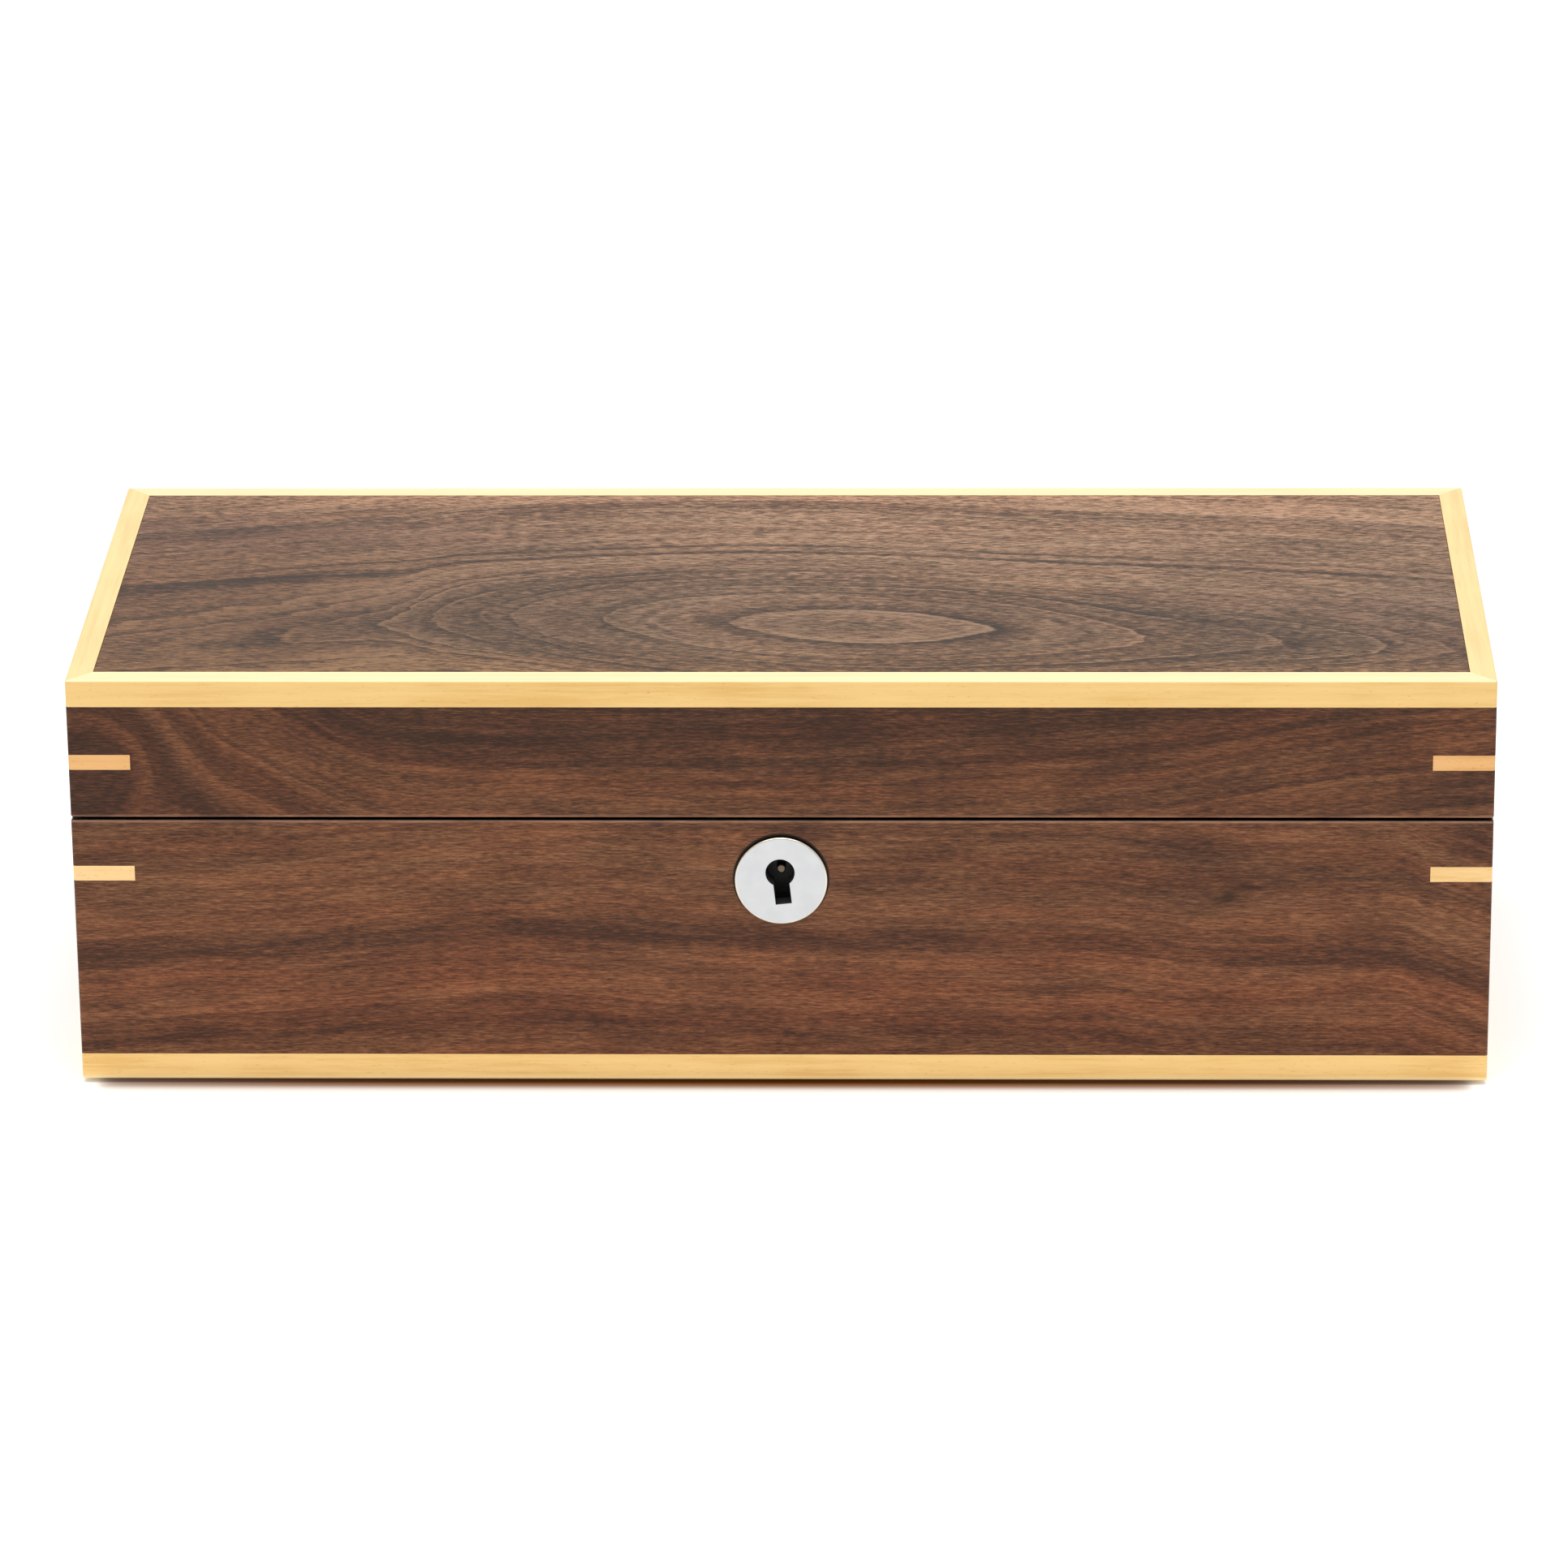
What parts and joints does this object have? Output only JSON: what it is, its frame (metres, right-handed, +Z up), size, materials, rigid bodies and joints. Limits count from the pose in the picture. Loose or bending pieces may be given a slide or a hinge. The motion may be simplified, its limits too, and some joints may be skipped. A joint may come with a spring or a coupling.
{
  "type": "hinged wooden keepsake box with lock",
  "caption": "Low oblong walnut box with light-wood edge banding and corner splines, a lined inside, a lid on two stop hinges and a keyed lock behind a round escutcheon.",
  "frame": {"origin": "centre of the underside of the felt, in the plane that the box stands on, lid closed", "axes": "+X along the box to the right seen from the keyhole side, +Y from the keyhole side towards the hinges, +Z up"},
  "size_m": [0.305, 0.1332, 0.0934],
  "materials": {
    "walnut": "satin lacquer over walnut",
    "walnut_veneer": "satin lacquer over flat-sawn walnut veneer",
    "maple": "satin lacquer over maple",
    "maple_spline": "satin lacquer over maple, darker on the cut",
    "panel_core": "bare board",
    "suede_cloth": "brushed suede-like cloth",
    "felt": "matted felt",
    "chrome": "satin chrome plate",
    "nickel": "bright nickel plate",
    "nickel_screw": "bright nickel plate",
    "steel": "bright zinc plate",
    "black_steel": "blackened"
  },
  "bodies": {
    "base": {"base_wall_front": "walnut", "base_wall_back": "walnut", "base_wall_left": "walnut", "base_wall_right": "walnut", "base_banding_front": "maple", "base_banding_back": "maple", "base_banding_left": "maple", "base_banding_right": "maple", "base_spline_front_left": "maple_spline", "base_spline_front_right": "maple_spline", "base_spline_back_left": "maple_spline", "base_spline_back_right": "maple_spline", "base_floor_panel": "panel_core", "base_felt": "felt", "base_floor_pad": "suede_cloth", "base_lining_front": "suede_cloth", "base_lining_back": "suede_cloth", "base_lining_left": "suede_cloth", "base_lining_right": "suede_cloth", "hinge_left_base_leaf": "nickel", "hinge_left_pin": "steel", "hinge_right_base_leaf": "nickel", "hinge_right_pin": "steel", "hinge_base_screws": "nickel_screw", "escutcheon": "chrome", "lock_case": "steel", "lock_cap": "black_steel", "lock_spring": "steel", "lock_pillars": "steel", "lock_drill_pin": "steel", "lock_screws": "steel"},
    "lid": {"lid_wall_front": "walnut", "lid_wall_back": "walnut", "lid_wall_left": "walnut", "lid_wall_right": "walnut", "lid_banding_front": "maple", "lid_banding_back": "maple", "lid_banding_left": "maple", "lid_banding_right": "maple", "lid_spline_front_left": "maple_spline", "lid_spline_front_right": "maple_spline", "lid_spline_back_left": "maple_spline", "lid_spline_back_right": "maple_spline", "lid_top_core": "panel_core", "lid_top_veneer": "walnut_veneer", "lid_top_pad": "suede_cloth", "lid_lining_front": "suede_cloth", "lid_lining_back": "suede_cloth", "lid_lining_left": "suede_cloth", "lid_lining_right": "suede_cloth", "hinge_left_lid_leaf": "nickel", "hinge_right_lid_leaf": "nickel", "hinge_lid_screws": "nickel_screw", "link_plate": "steel", "link_hooks": "steel", "link_screws": "steel"},
    "bolt": {"lock_bolt": "steel"}
  },
  "joints": [
    {"name": "lid_hinge", "type": "hinge", "parent": "base", "child": "lid", "pos_m": [0, 0.0661, 0.0618], "axis": [-1, 0, 0], "range_deg": [0, 95]},
    {"name": "lock_bolt_slide", "type": "slide", "parent": "base", "child": "bolt", "axis": [1, 0, 0], "range_m": [0, 0.0035], "deforming": ["lock_spring"]}
  ]
}
